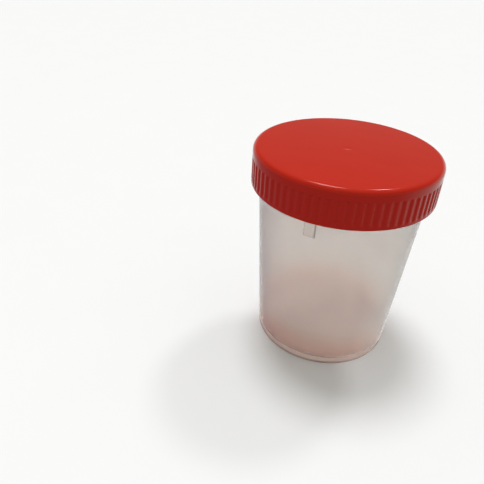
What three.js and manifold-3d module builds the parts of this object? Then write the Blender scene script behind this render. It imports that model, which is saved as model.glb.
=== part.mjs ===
// Urine specimen container: a tapered cup with a threaded neck, a ribbed screw cap, and the sealing
// disc that the cap carries inside it.
//
// Millimetres, +Z up. The origin is the centre of the standing ring, on the plane that the cup stands on.
// The cup's lug is on the -Y side, which is the front.

import * as THREE from "three";
import { mergeVertices } from "three/addons/utils/BufferGeometryUtils.js";
import Module from "manifold-3d";

const wasm = await Module();
wasm.setup();

// ---------------------------------------------------------------------------------------------------
// Driving dimensions

// Cup
const cupHeight = 71.2; // standing plane to rim
const neckRadius = 28.0; // outside of the neck, under the thread
const bodyStep = 0.25; // how far the body stands outside the neck where it meets it
const bodyRise = 0.5; // how far the body runs up inside the closed cap
const bodyBottomRadius = 24.6; // outside of the body, carried down to the standing plane
const cupWall = 1.0;
const floorThickness = 1.1;
const footRecess = 1.2; // standing plane up to the underside of the floor
const footWidth = 1.4; // flat of the standing ring
const footRound = 0.3; // outside corner at the standing ring
const recessSlope = 0.8; // how far the recess wall leans in over its height
const floorRound = 2.6; // inside corner between wall and floor
const rimRound = 0.35;
const gateRadius = 1.2; // where the plastic was fed in: a nub under the floor and a dimple on the cap
const gateDepth = 0.15;
const gateSlope = 0.6;

// Lug, the raised pad on the body just below the closed cap
const lugWidth = 4.1;
const lugHeight = 5.8;
const lugDrop = 0.75; // skirt edge down to the top of the lug, with the cap on
const lugDepth = 0.5;
const lugCornerRound = 0.5;
const wallBite = 0.4; // how far a joined-on feature is sunk in the wall that carries it

// Thread, shared by the cup and the cap. It is right-handed and has one start.
const threadLead = 4.0;
const threadDepth = 1.1;
const threadRootWidth = 2.0;
const threadCrestWidth = 0.9;
const threadClearance = 0.3; // crest to the facing wall, and flank to flank where the thread pulls
const threadTaper = 24; // degrees over which each end runs out
const threadStep = 6; // degrees from one section to the next
const cupThreadTurns = 1.5;
const cupThreadTop = 2.4; // rim down to the middle of the thread's upper end
const capThreadTurns = 1.25;
const capThreadBottom = 1.8; // skirt edge up to the middle of the thread's lower end

// Cap
const capHeight = 13.0; // skirt edge to the top face
const capTopWall = 1.15;
const capWall = 1.25; // between the thread's root and the bottom of a groove
const shoulderHeight = 3.9; // smooth band under the top face
const topRound = 1.8;
const skirtEdgeRound = 0.3;
const grooveCount = 72;
const grooveDepth = 0.35;
const grooveMouth = 1.7;
const grooveFloor = 0.7;
const grooveFoot = 0.5; // smooth lip at the skirt edge
const grooveEnd = 1.8; // height over which a groove slopes out above the lip
const retainerDepth = 0.65; // bead that holds the disc in the cap
const retainerHeight = 0.9;

// Sealing disc
const discThickness = 1.0;
const discClearance = 0.4; // to the cap's wall
const discPlay = 0.05; // above the disc
const rimGap = 0.05; // rim to disc

// Facets
const cupSegments = 60;
const capSegments = 72;
const cornerSteps = 2;

// ---------------------------------------------------------------------------------------------------
// Derived dimensions

const capInnerRadius = neckRadius + threadDepth + threadClearance;
const capRadius = capInnerRadius + capWall + grooveDepth;
const skirtDepth = capHeight - capTopWall - discPlay - discThickness - rimGap; // over the neck
const skirtEdgeZ = cupHeight - skirtDepth;
const bodyTopZ = skirtEdgeZ + bodyRise;
const bodyTopRadius = neckRadius + bodyStep;
const floorTopZ = footRecess + floorThickness;
const discZ = cupHeight + rimGap;

// The body's outside at a height above the standing plane.
function bodyRadiusAt(z) {
  return THREE.MathUtils.mapLinear(z, 0, bodyTopZ, bodyBottomRadius, bodyTopRadius);
}

// ---------------------------------------------------------------------------------------------------
// Shared geometry

function solidOf(geometry) {
  const bare = geometry.clone();
  bare.deleteAttribute("normal");
  bare.deleteAttribute("uv");
  const merged = mergeVertices(bare);
  return new wasm.Manifold(
    new wasm.Mesh({
      numProp: 3,
      vertProperties: merged.attributes.position.array,
      triVerts: new Uint32Array(merged.index.array),
    }),
  );
}

function geometryOf(solid) {
  const mesh = solid.getMesh();
  const geometry = new THREE.BufferGeometry();
  geometry.setAttribute("position", new THREE.BufferAttribute(mesh.vertProperties, 3));
  geometry.setIndex(new THREE.BufferAttribute(mesh.triVerts, 1));
  geometry.computeVertexNormals();
  return geometry;
}

// A path through corners given as [x, y, round]. A rounded corner becomes an arc that is tangent to both
// of its edges, and its radius is limited by the shorter of them.
function roundedPath(corners, closed) {
  const path = closed ? new THREE.Shape() : new THREE.Path();
  const last = corners.length - 1;
  corners.forEach(([x, y, round = 0], i) => {
    const here = new THREE.Vector2(x, y);
    const before = corners[i === 0 ? last : i - 1];
    const after = corners[i === last ? 0 : i + 1];
    const back = new THREE.Vector2(before[0], before[1]).sub(here);
    const forth = new THREE.Vector2(after[0], after[1]).sub(here);
    const turn = Math.abs(back.angleTo(forth));
    const room = Math.min(back.length(), forth.length()) * 0.48;
    const reach = Math.min(round / Math.tan(turn / 2), room);
    if (round === 0) {
      if (i === 0) path.moveTo(x, y);
      else path.lineTo(x, y);
      return;
    }
    const radius = reach * Math.tan(turn / 2);
    back.normalize();
    forth.normalize();
    const middle = back.clone().add(forth).normalize();
    const centre = middle.multiplyScalar(radius / Math.sin(turn / 2)).add(here);
    const start = back.clone().multiplyScalar(reach).add(here);
    const end = forth.clone().multiplyScalar(reach).add(here);
    const from = start.clone().sub(centre).angle();
    const to = end.clone().sub(centre).angle();
    if (i === 0) path.moveTo(start.x, start.y);
    else path.lineTo(start.x, start.y);
    path.absarc(centre.x, centre.y, radius, from, to, back.cross(forth) > 0);
  });
  return path;
}

// A solid turned about +Z. The corners are [radius, z, round] and run from the axis to the axis, outwards
// along the underside and back along the top.
function turned(corners, segments) {
  const points = roundedPath(corners, false).getPoints(cornerSteps);
  const lathe = new THREE.LatheGeometry(points, segments);
  lathe.rotateX(Math.PI / 2);
  return solidOf(lathe);
}

// A closed thread ridge that winds up round +Z. It stands from rootRadius towards crestRadius, which may
// lie inside or outside it, and both of its ends run out into the wall.
function threadRidge({ rootRadius, crestRadius, startAngle, startZ, turns }) {
  const steps = Math.round((turns * 360) / threadStep);
  const side = Math.sign(crestRadius - rootRadius);
  const positions = [];
  for (let i = 0; i <= steps; i++) {
    const along = (i / steps) * turns * 360;
    const angle = startAngle + THREE.MathUtils.degToRad(along);
    const z = startZ + (along / 360) * threadLead;
    const fromEnd = Math.min(along, turns * 360 - along);
    const share = THREE.MathUtils.smoothstep(fromEnd, -threadTaper / 8, threadTaper);
    const crest = THREE.MathUtils.lerp(rootRadius, crestRadius, share);
    const buried = rootRadius - side * wallBite;
    const halfRoot = threadRootWidth / 2;
    const halfCrest = THREE.MathUtils.lerp(halfRoot, threadCrestWidth / 2, share);
    const section = [
      [buried, -halfRoot],
      [rootRadius, -halfRoot],
      [crest, -halfCrest],
      [crest, halfCrest],
      [rootRadius, halfRoot],
      [buried, halfRoot],
    ];
    for (const [r, dz] of section) positions.push(r * Math.cos(angle), r * Math.sin(angle), z + dz);
  }
  const around = 6;
  const faces = [];
  for (let i = 0; i < steps; i++) {
    for (let j = 0; j < around; j++) {
      const a = i * around + j;
      const b = i * around + ((j + 1) % around);
      faces.push(a, a + around, b, b, a + around, b + around);
    }
  }
  const end = steps * around;
  for (let j = 1; j < around - 1; j++) {
    faces.push(0, j, j + 1);
    faces.push(end, end + j + 1, end + j);
  }
  // A ridge on an inside wall is the mirror image of one on an outside wall, so its faces turn round.
  if (side < 0) {
    for (let k = 0; k < faces.length; k += 3) [faces[k + 1], faces[k + 2]] = [faces[k + 2], faces[k + 1]];
  }
  const ridge = new THREE.BufferGeometry();
  ridge.setAttribute("position", new THREE.Float32BufferAttribute(positions, 3));
  ridge.setIndex(faces);
  return solidOf(ridge);
}

// ---------------------------------------------------------------------------------------------------
// Cup

const cupThreadStartZ = cupHeight - cupThreadTop - cupThreadTurns * threadLead;

// A pad on the body's outside, centred on -Y.
function lugSolid() {
  const topZ = skirtEdgeZ - lugDrop;
  const bottomZ = topZ - lugHeight;
  const outline = roundedPath(
    [
      [-lugWidth / 2, bottomZ, lugCornerRound],
      [lugWidth / 2, bottomZ, lugCornerRound],
      [lugWidth / 2, topZ, lugCornerRound],
      [-lugWidth / 2, topZ, lugCornerRound],
    ],
    true,
  );
  const innerFace = bodyRadiusAt(bottomZ) - wallBite;
  const outerFace = bodyRadiusAt(topZ) + lugDepth;
  const pad = new THREE.ExtrudeGeometry(outline, {
    depth: outerFace - innerFace,
    bevelEnabled: false,
    curveSegments: cornerSteps,
  });
  pad.rotateX(Math.PI / 2);
  pad.translate(0, -innerFace, 0);
  return solidOf(pad);
}

function cupSolid() {
  const footOuter = bodyBottomRadius;
  const footInner = footOuter - footRound - footWidth;
  const innerTop = neckRadius - cupWall;
  const innerBottom = bodyRadiusAt(floorTopZ) - cupWall;
  const wall = turned(
    [
      [0, footRecess - gateDepth],
      [gateRadius, footRecess - gateDepth],
      [gateRadius + gateSlope, footRecess],
      [footInner - recessSlope, footRecess],
      [footInner, 0],
      [footOuter, 0, footRound],
      [bodyTopRadius, bodyTopZ],
      [neckRadius, bodyTopZ + bodyStep],
      [neckRadius, cupHeight, rimRound],
      [innerTop, cupHeight, rimRound],
      [innerTop, bodyTopZ],
      [innerBottom, floorTopZ, floorRound],
      [0, floorTopZ],
    ],
    cupSegments,
  );
  const thread = threadRidge({
    rootRadius: neckRadius,
    crestRadius: neckRadius + threadDepth,
    startAngle: 0,
    startZ: cupThreadStartZ,
    turns: cupThreadTurns,
  });
  return wall.add(thread).add(lugSolid());
}

// ---------------------------------------------------------------------------------------------------
// Cap, in its own frame: its origin is the centre of the skirt edge

// Where the cap's thread starts, so that its upper flank lies threadClearance under the cup's thread.
function capThreadStart() {
  const share = 1 - threadClearance / threadDepth;
  const widthAtCrest = THREE.MathUtils.lerp(threadCrestWidth, threadRootWidth, share);
  const drop = (widthAtCrest + threadCrestWidth) / 2 + threadClearance;
  const startZ = skirtEdgeZ + capThreadBottom;
  const turnsUp = (startZ + drop - cupThreadStartZ) / threadLead;
  return { startZ: capThreadBottom, startAngle: turnsUp * 2 * Math.PI };
}

// One groove of the grip, centred on +X, from the lip at the skirt edge up to the smooth shoulder. Its
// floor slopes out to the surface at the lip.
function grooveSolid() {
  const floorRadius = capRadius - grooveDepth;
  const slope = (grooveMouth - grooveFloor) / grooveDepth;
  const beyond = capRadius + grooveDepth;
  const halfBeyond = (grooveMouth + slope * grooveDepth) / 2;
  const outline = new THREE.Shape([
    new THREE.Vector2(floorRadius, -grooveFloor / 2),
    new THREE.Vector2(beyond, -halfBeyond),
    new THREE.Vector2(beyond, halfBeyond),
    new THREE.Vector2(floorRadius, grooveFloor / 2),
  ]);
  const depth = capHeight - shoulderHeight - grooveFoot;
  const groove = new THREE.ExtrudeGeometry(outline, { depth, bevelEnabled: false });
  const { position } = groove.attributes;
  for (let i = 0; i < position.count; i++) {
    if (position.getZ(i) > 0) continue;
    position.setZ(i, ((capRadius - position.getX(i)) / grooveDepth) * grooveEnd);
  }
  groove.translate(0, 0, grooveFoot);
  return solidOf(groove);
}

function capSolid() {
  const underTop = capHeight - capTopWall;
  const retainerTop = underTop - discPlay - discThickness;
  const retainerBottom = retainerTop - retainerHeight;
  const retainerRadius = capInnerRadius - retainerDepth;
  const shell = turned(
    [
      [0, underTop],
      [capInnerRadius, underTop],
      [capInnerRadius, retainerTop],
      [retainerRadius, (retainerTop + retainerBottom) / 2],
      [capInnerRadius, retainerBottom],
      [capInnerRadius, 0],
      [capRadius, 0, skirtEdgeRound],
      [capRadius, capHeight, topRound],
      [gateRadius + gateSlope, capHeight],
      [gateRadius, capHeight - gateDepth],
      [0, capHeight - gateDepth],
    ],
    capSegments,
  );
  const groove = grooveSolid();
  const grooves = [];
  for (let i = 0; i < grooveCount; i++) grooves.push(groove.rotate([0, 0, (360 / grooveCount) * i]));
  const thread = threadRidge({
    rootRadius: capInnerRadius,
    crestRadius: capInnerRadius - threadDepth,
    turns: capThreadTurns,
    ...capThreadStart(),
  });
  return shell.subtract(wasm.Manifold.union(grooves)).add(thread);
}

// ---------------------------------------------------------------------------------------------------
// Sealing disc, in its own frame: its origin is the centre of its underside

function discSolid() {
  const radius = capInnerRadius - discClearance;
  return turned(
    [
      [0, 0],
      [radius, 0],
      [radius, discThickness],
      [0, discThickness],
    ],
    cupSegments,
  );
}

// ---------------------------------------------------------------------------------------------------
// Assembly

const naturalPolypropylene = new THREE.MeshStandardMaterial({
  color: 0xd6cfc6,
  roughness: 0.4,
  metalness: 0,
});
const redPolyethylene = new THREE.MeshStandardMaterial({
  color: 0xc23424,
  roughness: 0.2,
  metalness: 0,
});
const whiteFoam = new THREE.MeshStandardMaterial({
  color: 0xf0ece4,
  roughness: 0.8,
  metalness: 0,
});

function named(name, solid, material) {
  const mesh = new THREE.Mesh(geometryOf(solid), material);
  mesh.name = name;
  return mesh;
}

const container = new THREE.Group();
container.add(named("cup", cupSolid(), naturalPolypropylene));

const screwCap = named("screw_cap", capSolid(), redPolyethylene);
screwCap.position.z = skirtEdgeZ;
container.add(screwCap);

const sealingDisc = named("sealing_disc", discSolid(), whiteFoam);
sealingDisc.position.z = discZ;
container.add(sealingDisc);

export default container;
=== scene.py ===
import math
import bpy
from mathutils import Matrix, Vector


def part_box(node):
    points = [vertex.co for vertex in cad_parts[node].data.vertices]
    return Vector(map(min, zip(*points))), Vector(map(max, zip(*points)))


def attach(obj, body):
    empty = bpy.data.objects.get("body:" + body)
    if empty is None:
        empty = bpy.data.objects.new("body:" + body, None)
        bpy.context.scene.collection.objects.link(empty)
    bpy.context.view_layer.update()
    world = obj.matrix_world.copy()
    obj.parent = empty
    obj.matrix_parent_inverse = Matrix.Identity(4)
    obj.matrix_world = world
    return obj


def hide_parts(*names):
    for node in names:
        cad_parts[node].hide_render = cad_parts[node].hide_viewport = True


bl_info = {
    "name": "Specimen Container",
    "version": (1, 0, 0),
    "blender": (4, 5, 0),
    "location": "3D View > Sidebar > Container",
    "description": "Builds a urine specimen container with a screw cap round a packed frame",
    "category": "Add Mesh",
}

import bpy
from bpy.props import FloatProperty, FloatVectorProperty, IntProperty, PointerProperty
from mathutils import Matrix, Quaternion, Vector

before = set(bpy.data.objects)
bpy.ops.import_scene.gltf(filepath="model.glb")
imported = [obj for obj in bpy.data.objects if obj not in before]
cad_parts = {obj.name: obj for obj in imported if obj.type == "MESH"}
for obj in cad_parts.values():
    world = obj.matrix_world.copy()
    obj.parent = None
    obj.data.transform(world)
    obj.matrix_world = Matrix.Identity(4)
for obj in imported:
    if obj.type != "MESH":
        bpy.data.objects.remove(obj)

MM = 0.001
TURN = 2 * math.pi
FRONT = -math.pi / 2  # the angle of -Y, where the lug is

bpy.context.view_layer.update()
CUP_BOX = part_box("cup")
CAP_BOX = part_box("screw_cap")
DISC_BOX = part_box("sealing_disc")
CONTAINER_HEIGHT = CAP_BOX[1][2]

ROUND_STEP = math.radians(15)  # the most that an arc turns between two points
SHARP_EDGE = math.radians(40)  # a fold sharper than this is shaded as an edge

# How finely the pieces are cut: the angle between two columns of points, and the height between two rows.
CUP_STEP = math.radians(2)
LUG_STEP = math.radians(0.3)  # across the lug
LUG_COLUMNS = 18  # to each side of the lug's middle
DISC_STEP = math.radians(3)
WALL_ROW = 4 * MM
LUG_ROW = 0.12 * MM  # at the lug's upper and lower edges
CUP_THREAD_ROW = 0.2 * MM
CAP_THREAD_ROW = 0.25 * MM
PLAIN_EDGE = 0.2 * MM  # the skirt's edge, which gets no extra rows

# From the shoulder's lower edge: where a groove starts to fade, and where it has gone.
GROOVE_TOP = (-0.15 * MM, 0.1 * MM)

# Heights in the cup over which its painted shade and its roughness change, from the standing plane up.
FOOT_FADE = (0.8 * MM, 1.4 * MM)  # from the standing ring to the floor
FLOOR_FADE = (2.2 * MM, 3.4 * MM)  # from the thick floor to the wall
WARM_SHADE_FADE = (2 * MM, 20 * MM)  # from the darker, warmer painted shade to the pale wall
WARM_SHADE_DRIFT = 3 * MM  # how far that fade wanders up and down round the cup
THICK_ROUGHNESS = 0.6
WALL_ROUGHNESS = 0.2

# Heights of a direction into the room, as the sine of its angle above the horizon.
BENCH_FADE = (-0.1, 0.1)  # from the bench to eye level
EYE_LEVEL_FADE = (0.1, 0.3)  # from eye level to the upper walls
CEILING_START = 0.45  # where the upper walls start to brighten towards the zenith
BENCH_FULL = 0.5  # how far back a direction points, of at most 1, where the bench is brightest

FLOOR_GAP = 0.05 * MM  # from the standing plane down to the floor


def linear(hex_colour):
    """An sRGB colour such as "#c4301f" as three linear numbers."""
    parts = [int(hex_colour[i : i + 2], 16) / 255 for i in (1, 3, 5)]
    return tuple(p / 12.92 if p <= 0.04045 else ((p + 0.055) / 1.055) ** 2.4 for p in parts)


def length(name, description, default):
    """A size property, in metres."""
    return FloatProperty(
        name=name, description=description, default=default, min=0, unit="LENGTH", precision=5
    )


def degrees(name, description, default):
    """An angle property, whose default is given in degrees."""
    return FloatProperty(name=name, description=description, default=math.radians(default), subtype="ANGLE")


def number(name, description, default):
    """A property without a unit."""
    return FloatProperty(name=name, description=description, default=default)


def tint(name, description, hex_colour):
    """A colour property."""
    return FloatVectorProperty(
        name=name, description=description, default=linear(hex_colour), min=0, max=1, subtype="COLOR", size=3
    )


# ----------------------------------------------------------------------------------------------------
# Settings


class ThreadSettings(bpy.types.PropertyGroup):
    """The right-handed thread that the cup and the cap share"""

    lead: length("Lead", "Rise in one turn", 4.0 * MM)
    depth: length("Depth", "Root to crest", 1.1 * MM)
    root_width: length("Root width", "Width of the ridge at the wall", 2.0 * MM)
    crest_width: length("Crest width", "Width of the ridge at its crest", 0.9 * MM)
    clearance: length("Clearance", "Gap to the facing wall, and between the flanks that pull", 0.3 * MM)
    run_out: degrees("Run-out", "Turn over which each end fades into the wall", 24)


class CupSettings(bpy.types.PropertyGroup):
    """The tapered cup"""

    foot_radius: length("Foot radius", "Outside of the body at the standing plane", 24.6 * MM)
    body_step: length("Body step", "How far the body stands outside the neck", 0.25 * MM)
    body_rise: length("Body rise", "How far the body runs up inside the closed cap", 0.5 * MM)
    wall: length("Wall", "Thickness of the wall", 1.0 * MM)
    floor: length("Floor", "Thickness of the floor", 1.1 * MM)
    recess: length("Recess", "Standing plane up to the underside of the floor", 1.2 * MM)
    recess_slope: length("Recess slope", "Lean of the recess wall", 0.8 * MM)
    foot_width: length("Foot width", "Flat of the standing ring", 1.4 * MM)
    foot_round: length("Foot round", "Outside corner at the standing ring", 0.3 * MM)
    floor_round: length("Floor round", "Inside corner between wall and floor", 2.6 * MM)
    rim_round: length("Rim round", "Edge of the rim", 0.35 * MM)
    lug_width: length("Lug width", "Width of the raised pad under the cap", 4.1 * MM)
    lug_height: length("Lug height", "Height of the raised pad under the cap", 5.8 * MM)
    lug_drop: length("Lug drop", "Closed cap's edge down to the top of the lug", 0.75 * MM)
    lug_depth: length("Lug depth", "How far the top of the lug stands from the body", 0.5 * MM)
    lug_edge: length("Lug edge", "Width over which the lug's sides rise", 0.6 * MM)
    thread_drop: length("Thread drop", "Rim down to the thread's upper end", 2.4 * MM)
    thread_turns: number("Thread turns", "Turns of thread on the neck", 1.5)
    pale: tint("Upper tint", "Colour of the thin wall under the cap", "#fdfbf6")
    # Painted shade: the wall grows darker and warmer towards the foot.
    warm_shade: tint("Lower tint", "Colour of the wall towards the foot", "#f3dacd")
    # Painted shade: darker still over the thick floor and its corner, and darkest on the standing ring.
    plate_shade: tint("Floor tint", "Colour of the thick floor and the corner above it", "#e2d0c5")
    foot: tint("Foot tint", "Colour of the standing ring", "#b09c92")
    # Painted shade on the lug, darkest along its sides.
    lug_shade: tint("Thick tint", "Colour where the plastic stands out from the wall", "#b9a9a4")


class CapSettings(bpy.types.PropertyGroup):
    """The ribbed screw cap"""

    top_wall: length("Top wall", "Thickness of the top", 1.15 * MM)
    top_round: length("Top round", "Rounded edge between the top and the skirt", 1.8 * MM)
    edge_round: length("Skirt edge round", "Outside corner at the skirt's edge", 0.3 * MM)
    groove_count: IntProperty(name="Grooves", description="Grip grooves round the skirt", default=72, min=8)
    groove_depth: length("Groove depth", "Depth of a grip groove", 0.35 * MM)
    groove_mouth: length("Groove mouth", "Width of a groove at the outside", 1.7 * MM)
    groove_floor: length("Groove floor", "Width of a groove at its floor", 0.7 * MM)
    shoulder: length("Shoulder", "Smooth band under the top", 3.9 * MM)
    lip: length("Lip", "Smooth band at the skirt's edge", 0.5 * MM)
    groove_end: length("Groove end", "Height over which a groove fades out above the lip", 1.8 * MM)
    gate_radius: length("Gate radius", "Dimple where the plastic was fed in", 1.2 * MM)
    gate_depth: length("Gate depth", "Depth of the dimple", 0.15 * MM)
    gate_slope: length("Gate slope", "Width of the dimple's side", 0.6 * MM)
    thread_rise: length("Thread rise", "Skirt's edge up to the thread's lower end", 1.8 * MM)
    thread_turns: number("Thread turns", "Turns of thread in the cap", 1.25)
    retainer_depth: length("Retainer depth", "How far the bead under the disc stands in", 0.65 * MM)
    retainer_height: length("Retainer height", "Height of the bead under the disc", 0.9 * MM)
    red: tint("Red", "Colour of the moulded plastic", "#c02512")


class DiscSettings(bpy.types.PropertyGroup):
    """The sealing disc inside the cap"""

    edge_round: length("Edge round", "Softened edge where the sheet was punched", 0.12 * MM)
    white: tint("White", "Colour of the foam", "#f0ece4")


class StageSettings(bpy.types.PropertyGroup):
    """The floor, the light and the camera"""

    distance: length("Distance", "Camera to the middle of the container", 184.2 * MM)
    azimuth: degrees("Azimuth", "Camera's turn from the front", 15)
    elevation: degrees("Elevation", "Camera's height", 31.7)
    roll: degrees("Roll", "Camera's lean about its view", 9.33)
    pan: degrees("Pan", "Camera's turn away from the container", 10.35)
    tilt: degrees("Tilt", "Camera's tip above the container", 0.05)
    lens: number("Lens", "Focal length in millimetres on a 36 mm sensor", 36.75)
    floor_size: length("Floor size", "Side of the square floor", 14.0)
    floor_white: tint("Floor", "Colour of the floor", "#f1f3f7")
    overhead: number("Overhead light", "Strength of the ceiling light", 1.4)
    overhead_width: degrees("Overhead width", "Angle that the ceiling light fills", 18)
    overhead_lean: degrees("Overhead lean", "How far behind the container the ceiling light is", 14)
    overhead_turn: degrees("Overhead turn", "How far the ceiling light is to the left of straight behind", 31)
    second: number("Second light", "Strength of the smaller light behind", 0.5)
    second_width: degrees("Second width", "Angle that the second light fills", 8)
    second_lean: degrees("Second lean", "How far behind the container the second light is", 33)
    second_turn: degrees("Second turn", "How far the second light is to the left of straight behind", -27)
    zenith: number("Zenith", "Brightness of the room overhead", 1.0)
    upper_wall: number("Upper wall", "Brightness of the room's upper walls", 0.33)
    eye_level: number("Eye level", "Brightness of the room at eye level", 1.0)
    room: tint("Room", "Colour of the light from the room above the bench", "#e7e4da")
    bench_turn: degrees("Bench turn", "How far the bright bench is to the left of straight behind", -25)
    bench_front: tint("Bench in front", "Light that comes up from below on the camera's side", "#bfaab6")
    bench_back: tint("Bench behind", "Light that comes up from below behind the container", "#fffefa")


# ----------------------------------------------------------------------------------------------------
# Shapes


def smoothstep(low, high, value):
    """0 below low and 1 above high, with an easy slope between."""
    t = min(max((value - low) / (high - low), 0), 1)
    return t * t * (3 - 2 * t)


def rounded(corners):
    """The points of a path through corners given as (radius, height) or (radius, height, round)."""
    points = []
    for i, corner in enumerate(corners):
        here = Vector(corner[:2])
        if len(corner) == 2:
            points.append(here)
            continue
        back = (Vector(corners[i - 1][:2]) - here).normalized()
        forth = (Vector(corners[i + 1][:2]) - here).normalized()
        half = back.angle(forth) / 2
        centre = here + (back + forth).normalized() * (corner[2] / math.sin(half))
        first = here + back * (corner[2] / math.tan(half)) - centre
        sweep = math.copysign(math.pi - 2 * half, -back.cross(forth))
        steps = max(2, math.ceil(abs(sweep) / ROUND_STEP))
        for k in range(steps + 1):
            points.append(centre + Matrix.Rotation(sweep * k / steps, 2) @ first)
    return points


def with_rows(points, low, high, spacing):
    """The same path, with a point at least every spacing where it runs between two heights."""
    full = []
    for a, b in zip(points, points[1:]):
        full.append(a)
        rise = b.y - a.y
        if abs(rise) < spacing:
            continue
        steps = math.ceil(abs(rise) / spacing)
        for k in range(1, steps):
            middle = a.lerp(b, k / steps)
            if low <= middle.y <= high:
                full.append(middle)
    full.append(points[-1])
    return full


def turned(name, path, angles, relief=None):
    """A closed mesh: the path, from axis to axis, turned about +Z through the angles. relief(angle, radius,
    height) gives the radius that a point has instead. The mesh's "raised" attribute holds the difference."""
    vertices = [(0, 0, path[0].y)]
    raised = [0]
    for radius, height in path[1:-1]:
        for angle in angles:
            r = relief(angle, radius, height) if relief else radius
            vertices.append((r * math.cos(angle), r * math.sin(angle), height))
            raised.append(r - radius)
    vertices.append((0, 0, path[-1].y))
    raised.append(0)
    around = len(angles)
    rings = len(path) - 2
    last = len(vertices) - 1
    faces = []
    for j in range(around):
        k = (j + 1) % around
        faces.append((0, 1 + k, 1 + j))
        for i in range(rings - 1):
            low = 1 + i * around
            high = low + around
            faces.append((low + j, low + k, high + k, high + j))
        top = 1 + (rings - 1) * around
        faces.append((top + j, top + k, last))
    mesh = bpy.data.meshes.new(name)
    mesh.from_pydata(vertices, [], faces)
    mesh.attributes.new("raised", "FLOAT", "POINT").data.foreach_set("value", raised)
    mesh.shade_smooth()
    mesh.set_sharp_from_angle(angle=SHARP_EDGE)
    piece = bpy.data.objects.new(name, mesh)
    bpy.context.collection.objects.link(piece)
    weighted = piece.modifiers.new("weighted_normals", "WEIGHTED_NORMAL")
    weighted.keep_sharp = True
    return piece


def thread_height(thread, start_angle, start_height, turns, angle, height):
    """How far the thread's ridge stands from its wall at an angle and a height."""
    tallest = 0
    along = (angle - start_angle) % TURN
    while along < turns * TURN:
        off = abs(height - start_height - along / TURN * thread.lead)
        share = smoothstep(0, thread.run_out, min(along, turns * TURN - along))
        ridge = 1 - smoothstep(thread.crest_width / 2, thread.root_width / 2, off)
        tallest = max(tallest, thread.depth * share * ridge)
        along += TURN
    return tallest


def neck_radius(thread):
    """The outside of the neck, between its threads."""
    return CUP_BOX[1][0] - thread.depth


def cap_inner_radius(thread):
    """The inside of the cap, between its threads."""
    return neck_radius(thread) + thread.depth + thread.clearance


def cup_thread_start(thread, cup):
    """The height of the lower end of the cup's thread, which starts at angle 0."""
    return CUP_BOX[1][2] - cup.thread_drop - cup.thread_turns * thread.lead


# ----------------------------------------------------------------------------------------------------
# Materials


def add_node(tree, kind, inputs=None, **settings):
    """Adds a node with its settings. inputs gives each input socket a value, or the output that feeds it."""
    node = tree.nodes.new(kind)
    for key, value in settings.items():
        setattr(node, key, value)
    for socket, value in (inputs or {}).items():
        if isinstance(value, bpy.types.NodeSocket):
            tree.links.new(value, node.inputs[socket])
        else:
            node.inputs[socket].default_value = value
    return node


def new_material(name):
    """An empty material and its node tree."""
    material = bpy.data.materials.new(name)
    material.use_nodes = True
    material.node_tree.nodes.clear()
    return material, material.node_tree


def per_metre(size):
    """The noise scale at which a pattern's grains are about that size."""
    return 1 / size


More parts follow.
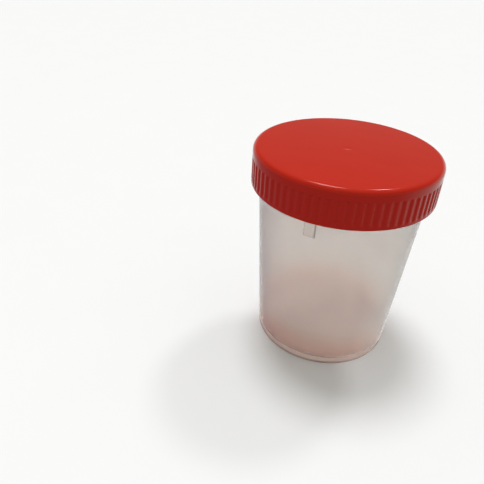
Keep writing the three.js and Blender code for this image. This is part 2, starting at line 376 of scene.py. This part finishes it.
def natural_polypropylene(cup):
    """Uncoloured injection-moulded polypropylene: milky, lets light through but blurs what is behind it.
    Painted shade makes it darker and warmer low down, towards the thick foot and floor, and darkens the sides
    of the lug."""
    material, tree = new_material("natural_polypropylene")
    place = add_node(tree, "ShaderNodeTexCoord").outputs["Object"]
    height = add_node(tree, "ShaderNodeSeparateXYZ", {"Vector": place}).outputs["Z"]
    cloud = add_node(
        tree, "ShaderNodeTexNoise", {"Vector": place, "Scale": per_metre(14 * MM), "Detail": 2.0}
    ).outputs["Fac"]
    drift = add_node(
        tree, "ShaderNodeMapRange", {"Value": cloud, "To Min": -WARM_SHADE_DRIFT, "To Max": WARM_SHADE_DRIFT}
    ).outputs["Result"]
    level = add_node(tree, "ShaderNodeMath", {0: height, 1: drift}, operation="ADD").outputs["Value"]
    share = add_node(
        tree,
        "ShaderNodeMapRange",
        {"Value": level, "From Min": WARM_SHADE_FADE[0], "From Max": WARM_SHADE_FADE[1]},
        interpolation_type="SMOOTHSTEP",
    ).outputs["Result"]
    # Painted shade: the wall grows darker and warmer towards the foot.
    wall = add_node(
        tree,
        "ShaderNodeMix",
        {"Factor": share, "A": (*cup.warm_shade, 1), "B": (*cup.pale, 1)},
        data_type="RGBA",
    ).outputs["Result"]
    # Painted shade on the standing ring and the thick floor.
    above_foot = add_node(
        tree, "ShaderNodeMapRange", {"Value": height, "From Min": FOOT_FADE[0], "From Max": FOOT_FADE[1]}
    ).outputs["Result"]
    thick = add_node(
        tree,
        "ShaderNodeMix",
        {"Factor": above_foot, "A": (*cup.foot, 1), "B": (*cup.plate_shade, 1)},
        data_type="RGBA",
    ).outputs["Result"]
    above_floor = add_node(
        tree, "ShaderNodeMapRange", {"Value": height, "From Min": FLOOR_FADE[0], "From Max": FLOOR_FADE[1]}
    ).outputs["Result"]
    body = add_node(
        tree, "ShaderNodeMix", {"Factor": above_floor, "A": thick, "B": wall}, data_type="RGBA"
    ).outputs["Result"]
    haze = add_node(
        tree,
        "ShaderNodeMapRange",
        {"Value": above_floor, "To Min": THICK_ROUGHNESS, "To Max": WALL_ROUGHNESS},
    ).outputs["Result"]
    raised = add_node(tree, "ShaderNodeAttribute", attribute_name="raised").outputs["Fac"]
    rise = add_node(
        tree, "ShaderNodeMapRange", {"Value": raised, "From Max": cup.lug_depth}
    ).outputs["Result"]
    # Painted shade on a raised feature: darkest half-way up its sides, which are seen along the plastic, and
    # a little darker than the wall on its face.
    lug_shade_ramp = add_node(tree, "ShaderNodeValToRGB", {"Fac": rise})
    stops = lug_shade_ramp.color_ramp.elements
    stops[0].position, stops[0].color = 0.02, (0, 0, 0, 1)
    stops[1].position, stops[1].color = 0.9, (0.4, 0.4, 0.4, 1)
    stops.new(0.45).color = (1, 1, 1, 1)
    colour = add_node(
        tree,
        "ShaderNodeMix",
        {"Factor": lug_shade_ramp.outputs["Color"], "A": body, "B": (*cup.lug_shade, 1)},
        data_type="RGBA",
    )
    shader = add_node(
        tree,
        "ShaderNodeBsdfPrincipled",
        {
            "Base Color": colour.outputs["Result"],
            "Roughness": haze,
            "IOR": 1.49,
            "Transmission Weight": 0.8,
            "Subsurface Weight": 1.0,
            "Subsurface Radius": (1.0, 0.85, 0.75),
            "Subsurface Scale": 2 * MM,
        },
    )
    add_node(tree, "ShaderNodeOutputMaterial", {"Surface": shader.outputs["BSDF"]})
    return material


def red_polyethylene(cap):
    """Red injection-moulded polyethylene: opaque, with a low waxy gloss from the tool's fine finish."""
    material, tree = new_material("red_polyethylene")
    place = add_node(tree, "ShaderNodeTexCoord").outputs["Object"]
    # The tool's finish is finer than this, and is drawn coarse enough to show.
    grain = add_node(
        tree, "ShaderNodeTexNoise", {"Vector": place, "Scale": per_metre(0.3 * MM), "Detail": 2.0}
    ).outputs["Fac"]
    flow = add_node(
        tree, "ShaderNodeTexNoise", {"Vector": place, "Scale": per_metre(20 * MM), "Detail": 2.0}
    ).outputs["Fac"]
    shade = add_node(
        tree, "ShaderNodeMapRange", {"Value": flow, "To Min": 0.94, "To Max": 1.05}
    ).outputs["Result"]
    colour = add_node(
        tree, "ShaderNodeHueSaturation", {"Color": (*cap.red, 1), "Value": shade}
    ).outputs["Color"]
    gloss = add_node(
        tree, "ShaderNodeMapRange", {"Value": flow, "To Min": 0.12, "To Max": 0.16}
    ).outputs["Result"]
    surface = add_node(
        tree, "ShaderNodeBump", {"Height": grain, "Strength": 0.1, "Distance": 0.01 * MM}
    ).outputs["Normal"]
    shader = add_node(
        tree,
        "ShaderNodeBsdfPrincipled",
        {
            "Base Color": colour,
            "Roughness": gloss,
            "IOR": 1.5,
            "Specular IOR Level": 0.17,
            "Normal": surface,
        },
    )
    add_node(tree, "ShaderNodeOutputMaterial", {"Surface": shader.outputs["BSDF"]})
    return material


def foam_sheet(disc):
    """Punched sheet of expanded polyethylene: white and matte, with fine closed cells."""
    material, tree = new_material("expanded_polyethylene")
    place = add_node(tree, "ShaderNodeTexCoord").outputs["Object"]
    cells = add_node(
        tree, "ShaderNodeTexVoronoi", {"Vector": place, "Scale": per_metre(0.4 * MM)}
    ).outputs["Distance"]
    surface = add_node(
        tree, "ShaderNodeBump", {"Height": cells, "Strength": 0.4, "Distance": 0.1 * MM}
    ).outputs["Normal"]
    shader = add_node(
        tree,
        "ShaderNodeBsdfPrincipled",
        {"Base Color": (*disc.white, 1), "Roughness": 0.8, "IOR": 1.45, "Normal": surface},
    )
    add_node(tree, "ShaderNodeOutputMaterial", {"Surface": shader.outputs["BSDF"]})
    return material


def studio_floor(stage):
    """Matte painted board: pale and even, with the slightest mottle."""
    material, tree = new_material("painted_board")
    place = add_node(tree, "ShaderNodeTexCoord").outputs["Object"]
    mottle = add_node(
        tree, "ShaderNodeTexNoise", {"Vector": place, "Scale": per_metre(30 * MM)}
    ).outputs["Fac"]
    shade = add_node(
        tree, "ShaderNodeMapRange", {"Value": mottle, "To Min": 0.99, "To Max": 1.01}
    ).outputs["Result"]
    colour = add_node(
        tree, "ShaderNodeHueSaturation", {"Color": (*stage.floor_white, 1), "Value": shade}
    ).outputs["Color"]
    shader = add_node(tree, "ShaderNodeBsdfPrincipled", {"Base Color": colour, "Roughness": 0.9})
    add_node(tree, "ShaderNodeOutputMaterial", {"Surface": shader.outputs["BSDF"]})
    return material


# ----------------------------------------------------------------------------------------------------
# Pieces


class SPECIMEN_OT_cup(bpy.types.Operator):
    """Build the translucent cup with its lug, thread and standing ring"""

    bl_idname = "specimen.cup"
    bl_label = "Cup"

    def execute(self, context):
        thread = context.scene.specimen_thread
        cup = context.scene.specimen_cup
        cap = context.scene.specimen_cap
        rim = CUP_BOX[1][2]
        neck = neck_radius(thread)
        skirt_edge = CAP_BOX[0][2]
        body_top = skirt_edge + cup.body_rise
        foot_inner = cup.foot_radius - cup.foot_round - cup.foot_width
        floor_top = cup.recess + cup.floor
        taper = (neck + cup.body_step - cup.foot_radius) / body_top
        lug_top = skirt_edge - cup.lug_drop
        lug_low = lug_top - cup.lug_height
        lug_face = cup.foot_radius + taper * lug_top + cup.lug_depth
        gate_low = cup.recess - cap.gate_depth  # the nub where the plastic was fed in
        path = rounded(
            [
                (0, gate_low),
                (cap.gate_radius, gate_low),
                (cap.gate_radius + cap.gate_slope, cup.recess),
                (foot_inner - cup.recess_slope, cup.recess),
                (foot_inner, 0),
                (cup.foot_radius, 0, cup.foot_round),
                (neck + cup.body_step, body_top),
                (neck, body_top + cup.body_step),
                (neck, rim, cup.rim_round),
                (neck - cup.wall, rim, cup.rim_round),
                (neck - cup.wall, body_top),
                (cup.foot_radius + taper * floor_top - cup.wall, floor_top, cup.floor_round),
                (0, floor_top),
            ]
        )
        path = with_rows(path, lug_low - cup.lug_edge, lug_low + 3 * cup.lug_edge, LUG_ROW)
        path = with_rows(path, lug_top - 3 * cup.lug_edge, lug_top + cup.lug_edge, LUG_ROW)
        path = with_rows(path, body_top + cup.body_step, rim - cup.rim_round, CUP_THREAD_ROW)
        path = with_rows(path, floor_top, body_top, WALL_ROW)

        def relief(angle, radius, height):
            if radius < neck - cup.wall / 2:
                return radius
            across = cup.lug_width / 2 - abs(math.sin(angle - FRONT) * radius)
            along = min(height - lug_low, lug_top - height)
            if math.cos(angle - FRONT) > 0 and min(across, along) > 0:
                share = smoothstep(0, cup.lug_edge, min(across, along))
                return radius + share * (lug_face / math.cos(angle - FRONT) - radius)
            return radius + thread_height(
                thread, 0, cup_thread_start(thread, cup), cup.thread_turns, angle, height
            )

        fine = [FRONT % TURN + k * LUG_STEP for k in range(-LUG_COLUMNS, LUG_COLUMNS + 1)]
        coarse = [k * CUP_STEP for k in range(round(TURN / CUP_STEP))]
        coarse = [a for a in coarse if not fine[0] - LUG_STEP < a < fine[-1] + LUG_STEP]
        piece = turned("specimen_cup", path, sorted(coarse + fine), relief)
        piece.data.materials.append(natural_polypropylene(cup))
        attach(piece, "cup")
        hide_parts("cup")
        piece.visible_shadow = False  # the thin milky wall lets the light through to the floor
        return {"FINISHED"}


class SPECIMEN_OT_cap(bpy.types.Operator):
    """Build the red screw cap with its grip grooves, thread and retaining bead"""

    bl_idname = "specimen.cap"
    bl_label = "Screw cap"

    def execute(self, context):
        thread = context.scene.specimen_thread
        cap = context.scene.specimen_cap
        cup = context.scene.specimen_cup
        outer = CAP_BOX[1][0]
        inner = cap_inner_radius(thread)
        low = CAP_BOX[0][2]
        high = CAP_BOX[1][2]
        under_top = high - cap.top_wall
        retainer_top = DISC_BOX[0][2]
        retainer_low = retainer_top - cap.retainer_height
        groove_top = high - cap.shoulder
        path = rounded(
            [
                (0, under_top),
                (inner, under_top),
                (inner, retainer_top),
                (inner - cap.retainer_depth, (retainer_top + retainer_low) / 2),
                (inner, retainer_low),
                (inner, low),
                (outer, low, cap.edge_round),
                (outer, high, cap.top_round),
                (cap.gate_radius + cap.gate_slope, high),
                (cap.gate_radius, high - cap.gate_depth),
                (0, high - cap.gate_depth),
            ]
        )
        path = with_rows(path, low + PLAIN_EDGE, retainer_low, CAP_THREAD_ROW)

        share_at_crest = 1 - thread.clearance / thread.depth
        cup_width = thread.crest_width + share_at_crest * (thread.root_width - thread.crest_width)
        drop = (cup_width + thread.crest_width) / 2 + thread.clearance
        thread_low = low + cap.thread_rise
        start_angle = (thread_low + drop - cup_thread_start(thread, cup)) / thread.lead * TURN
        pitch = TURN / cap.groove_count
        half_floor = cap.groove_floor / 2 / outer
        half_mouth = cap.groove_mouth / 2 / outer

        def relief(angle, radius, height):
            if radius > (inner + outer) / 2:
                off = abs((angle + pitch / 2) % pitch - pitch / 2)
                depth = cap.groove_depth * (1 - smoothstep(half_floor, half_mouth, off))
                depth *= 1 - smoothstep(groove_top + GROOVE_TOP[0], groove_top + GROOVE_TOP[1], height)
                return radius - depth * smoothstep(low + cap.lip, low + cap.lip + cap.groove_end, height)
            return radius - thread_height(thread, start_angle, thread_low, cap.thread_turns, angle, height)

        steps = [0, half_floor, (half_floor + half_mouth) / 2, half_mouth]
        offsets = sorted({-s for s in steps} | set(steps) | {pitch / 2})
        angles = [k * pitch + off for k in range(cap.groove_count) for off in offsets]
        piece = turned("specimen_screw_cap", path, angles, relief)
        piece.data.materials.append(red_polyethylene(cap))
        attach(piece, "screw_cap")
        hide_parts("screw_cap")
        return {"FINISHED"}


class SPECIMEN_OT_disc(bpy.types.Operator):
    """Build the foam sealing disc that the cap carries"""

    bl_idname = "specimen.disc"
    bl_label = "Sealing disc"

    def execute(self, context):
        disc = context.scene.specimen_disc
        radius = DISC_BOX[1][0]
        low = DISC_BOX[0][2]
        high = DISC_BOX[1][2]
        path = rounded([(0, low), (radius, low, disc.edge_round), (radius, high, disc.edge_round), (0, high)])
        angles = [k * DISC_STEP for k in range(round(TURN / DISC_STEP))]
        piece = turned("specimen_sealing_disc", path, angles)
        piece.data.materials.append(foam_sheet(disc))
        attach(piece, "sealing_disc")
        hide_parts("sealing_disc")
        return {"FINISHED"}


class SPECIMEN_OT_stage(bpy.types.Operator):
    """Set up the floor, the light and the camera"""

    bl_idname = "specimen.stage"
    bl_label = "Stage"

    def execute(self, context):
        stage = context.scene.specimen_stage
        self.lay_floor(stage)
        self.light(context, stage)
        self.aim_camera(context, stage)
        return {"FINISHED"}

    def lay_floor(self, stage):
        """A square board just under the standing ring."""
        half = stage.floor_size / 2
        corners = [(-half, -half, 0), (half, -half, 0), (half, half, 0), (-half, half, 0)]
        mesh = bpy.data.meshes.new("studio_floor")
        mesh.from_pydata(corners, [], [(0, 1, 2, 3)])
        floor = bpy.data.objects.new("studio_floor", mesh)
        floor.location.z = -FLOOR_GAP
        mesh.materials.append(studio_floor(stage))
        bpy.context.collection.objects.link(floor)
        # Bounced light misses the floor, so the container is lit from below by the room's bench.
        floor.visible_diffuse = False
        floor.visible_glossy = False
        floor.visible_transmission = False

    def light(self, context, stage):
        """Two lights above and behind the container. The room is bright overhead and at eye level, has darker
        upper walls, and throws the most light up from the bench behind."""
        lights = {
            "ceiling_light": (stage.overhead, stage.overhead_width, stage.overhead_lean, stage.overhead_turn),
            "second_light": (stage.second, stage.second_width, stage.second_lean, stage.second_turn),
        }
        for name, (strength, width, lean, turn) in lights.items():
            lamp = bpy.data.objects.new(name, bpy.data.lights.new(name, "SUN"))
            lamp.data.energy = strength
            lamp.data.angle = width
            lamp.rotation_euler = (-lean, 0, stage.azimuth + turn)
            bpy.context.collection.objects.link(lamp)

        room = bpy.data.worlds.new("studio_room")
        room.use_nodes = True
        tree = room.node_tree
        tree.nodes.clear()
        place = add_node(tree, "ShaderNodeTexCoord").outputs["Generated"]
        up = add_node(tree, "ShaderNodeSeparateXYZ", {"Vector": place}).outputs["Z"]
        walls = add_node(
            tree,
            "ShaderNodeMapRange",
            {
                "Value": up,
                "From Min": EYE_LEVEL_FADE[0],
                "From Max": EYE_LEVEL_FADE[1],
                "To Min": stage.eye_level,
                "To Max": stage.upper_wall,
            },
        ).outputs["Result"]
        strength = add_node(
            tree,
            "ShaderNodeMapRange",
            {"Value": up, "From Min": CEILING_START, "To Min": walls, "To Max": stage.zenith},
        ).outputs["Result"]
        above = add_node(
            tree, "ShaderNodeBackground", {"Color": (*stage.room, 1), "Strength": strength}
        ).outputs["Background"]
        turn = stage.azimuth + stage.bench_turn
        backward = (-math.sin(turn), math.cos(turn), 0)
        behind = add_node(
            tree, "ShaderNodeVectorMath", {0: place, 1: backward}, operation="DOT_PRODUCT"
        ).outputs["Value"]
        side = add_node(
            tree, "ShaderNodeMapRange", {"Value": behind, "From Max": BENCH_FULL}
        ).outputs["Result"]
        bench = add_node(
            tree,
            "ShaderNodeMix",
            {"Factor": side, "A": (*stage.bench_front, 1), "B": (*stage.bench_back, 1)},
            data_type="RGBA",
        )
        below = add_node(
            tree, "ShaderNodeBackground", {"Color": bench.outputs["Result"]}
        ).outputs["Background"]
        share = add_node(
            tree, "ShaderNodeMapRange", {"Value": up, "From Min": BENCH_FADE[0], "From Max": BENCH_FADE[1]}
        ).outputs["Result"]
        both = add_node(tree, "ShaderNodeMixShader", {0: share, 1: below, 2: above}).outputs["Shader"]
        add_node(tree, "ShaderNodeOutputWorld", {"Surface": both})
        context.scene.world = room
        context.scene.view_settings.view_transform = "Standard"

    def aim_camera(self, context, stage):
        """A camera that looks down at the container's middle, then leans and turns away from it."""
        target = Vector((0, 0, CONTAINER_HEIGHT / 2))
        level = math.cos(stage.elevation)
        away = Vector(
            (level * math.sin(stage.azimuth), -level * math.cos(stage.azimuth), math.sin(stage.elevation))
        )
        camera = bpy.data.objects.new("studio_camera", bpy.data.cameras.new("studio_camera"))
        camera.data.lens = stage.lens
        camera.data.clip_start = 1 * MM
        camera.location = target + away * stage.distance
        camera.rotation_mode = "QUATERNION"
        camera.rotation_quaternion = (
            (-away).to_track_quat("-Z", "Y")
            @ Quaternion((0, 0, 1), stage.roll)
            @ Quaternion((0, 1, 0), stage.pan)
            @ Quaternion((1, 0, 0), stage.tilt)
        )
        bpy.context.collection.objects.link(camera)
        context.scene.camera = camera


class SPECIMEN_PT_container(bpy.types.Panel):
    """Lists what the container is built from"""

    bl_label = "Specimen Container"
    bl_space_type = "VIEW_3D"
    bl_region_type = "UI"
    bl_category = "Container"

    def draw(self, context):
        for operator in OPERATORS:
            self.layout.operator(operator.bl_idname)
        for key, group in SETTINGS.items():
            box = self.layout.box()
            box.label(text=group.__doc__)
            settings = getattr(context.scene, key)
            for name in group.__annotations__:
                box.prop(settings, name)


SETTINGS = {
    "specimen_thread": ThreadSettings,
    "specimen_cup": CupSettings,
    "specimen_cap": CapSettings,
    "specimen_disc": DiscSettings,
    "specimen_stage": StageSettings,
}
OPERATORS = (SPECIMEN_OT_stage, SPECIMEN_OT_cup, SPECIMEN_OT_cap, SPECIMEN_OT_disc)


def register():
    for key, group in SETTINGS.items():
        bpy.utils.register_class(group)
        setattr(bpy.types.Scene, key, PointerProperty(type=group))
    for operator in OPERATORS:
        bpy.utils.register_class(operator)
    bpy.utils.register_class(SPECIMEN_PT_container)


def unregister():
    bpy.utils.unregister_class(SPECIMEN_PT_container)
    for operator in reversed(OPERATORS):
        bpy.utils.unregister_class(operator)
    for key, group in reversed(SETTINGS.items()):
        delattr(bpy.types.Scene, key)
        bpy.utils.unregister_class(group)


def main():
    register()
    bpy.ops.specimen.stage()
    bpy.ops.specimen.cup()
    bpy.ops.specimen.cap()
    bpy.ops.specimen.disc()


if __name__ == "__main__":
    main()
